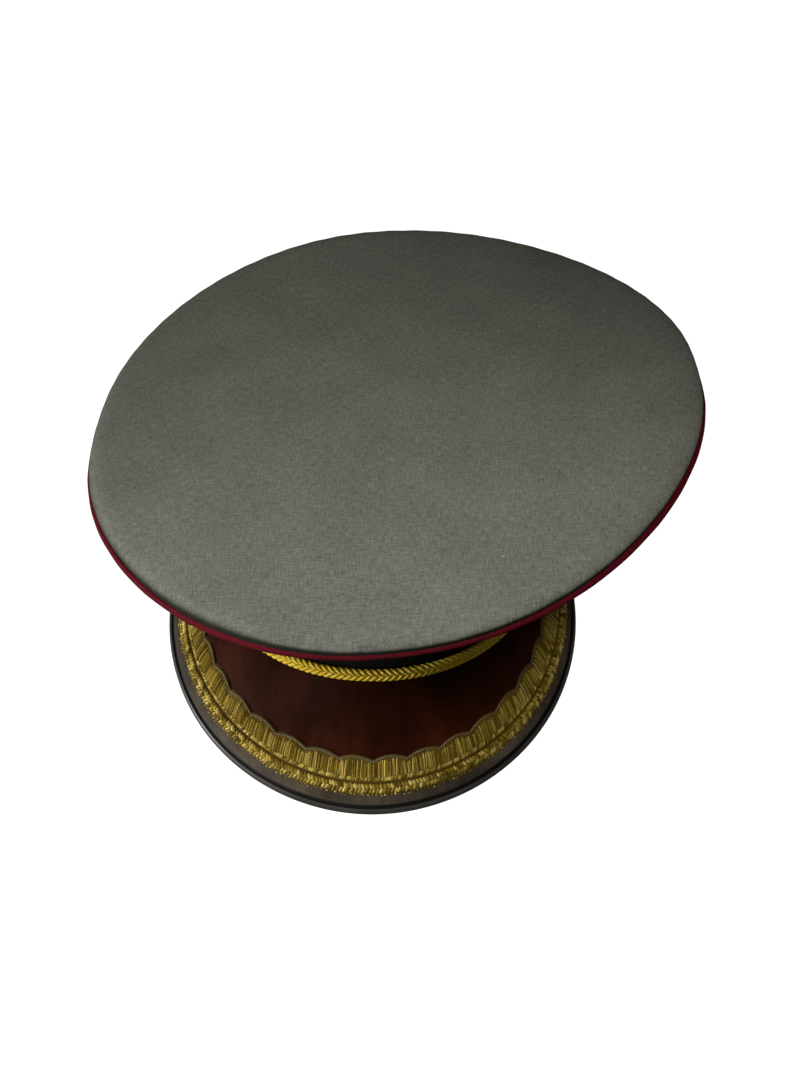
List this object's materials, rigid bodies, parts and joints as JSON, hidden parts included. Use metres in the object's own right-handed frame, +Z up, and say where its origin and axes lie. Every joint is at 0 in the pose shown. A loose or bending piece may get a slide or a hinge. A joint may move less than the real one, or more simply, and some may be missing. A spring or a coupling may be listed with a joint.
{
  "type": "peaked cap",
  "caption": "Peaked cap with a wide, nearly flat cloth crown, crimson piped edge, dark band, sloping lacquered peak with a scalloped gold border, and a gold chin cord on side buttons.",
  "frame": {"origin": "on the surface the cap rests on, below the middle of its bounding box", "axes": "+Z up from the surface, -Y towards the peak, +X to the viewer's right when the peak faces the viewer; the cap leans back as it stands on its peak and on the back of its band"},
  "size_m": [0.2672, 0.2986, 0.14],
  "materials": {
    "crown_cloth": "grey-green wool cloth, fine plain weave, matte",
    "crimson_piping": "crimson wool bias strip over a cord",
    "band_cloth": "black cloth, matte",
    "lacquered_peak": "dark brown lacquer, glossy",
    "peak_binding": "dark rolled leather edge, satin",
    "gold_thread": "gold metallic embroidery thread",
    "gold_cord": "twisted gold metallic cord",
    "gilt_button": "gilt, satin polish"
  },
  "bodies": {
    "root": {"crown_top": "crown_cloth", "crown_side_front": "crown_cloth", "crown_side_back": "crown_cloth", "crown_side_left": "crown_cloth", "crown_side_right": "crown_cloth", "crown_piping": "crimson_piping", "band": "band_cloth", "peak": "lacquered_peak", "peak_rim": "peak_binding", "gold_rope_border": "gold_thread", "gold_scallop_border": "gold_thread", "chin_cord_lower": "gold_cord", "chin_cord_upper": "gold_cord", "side_button_left": "gilt_button", "side_button_right": "gilt_button"}
  },
  "joints": []
}
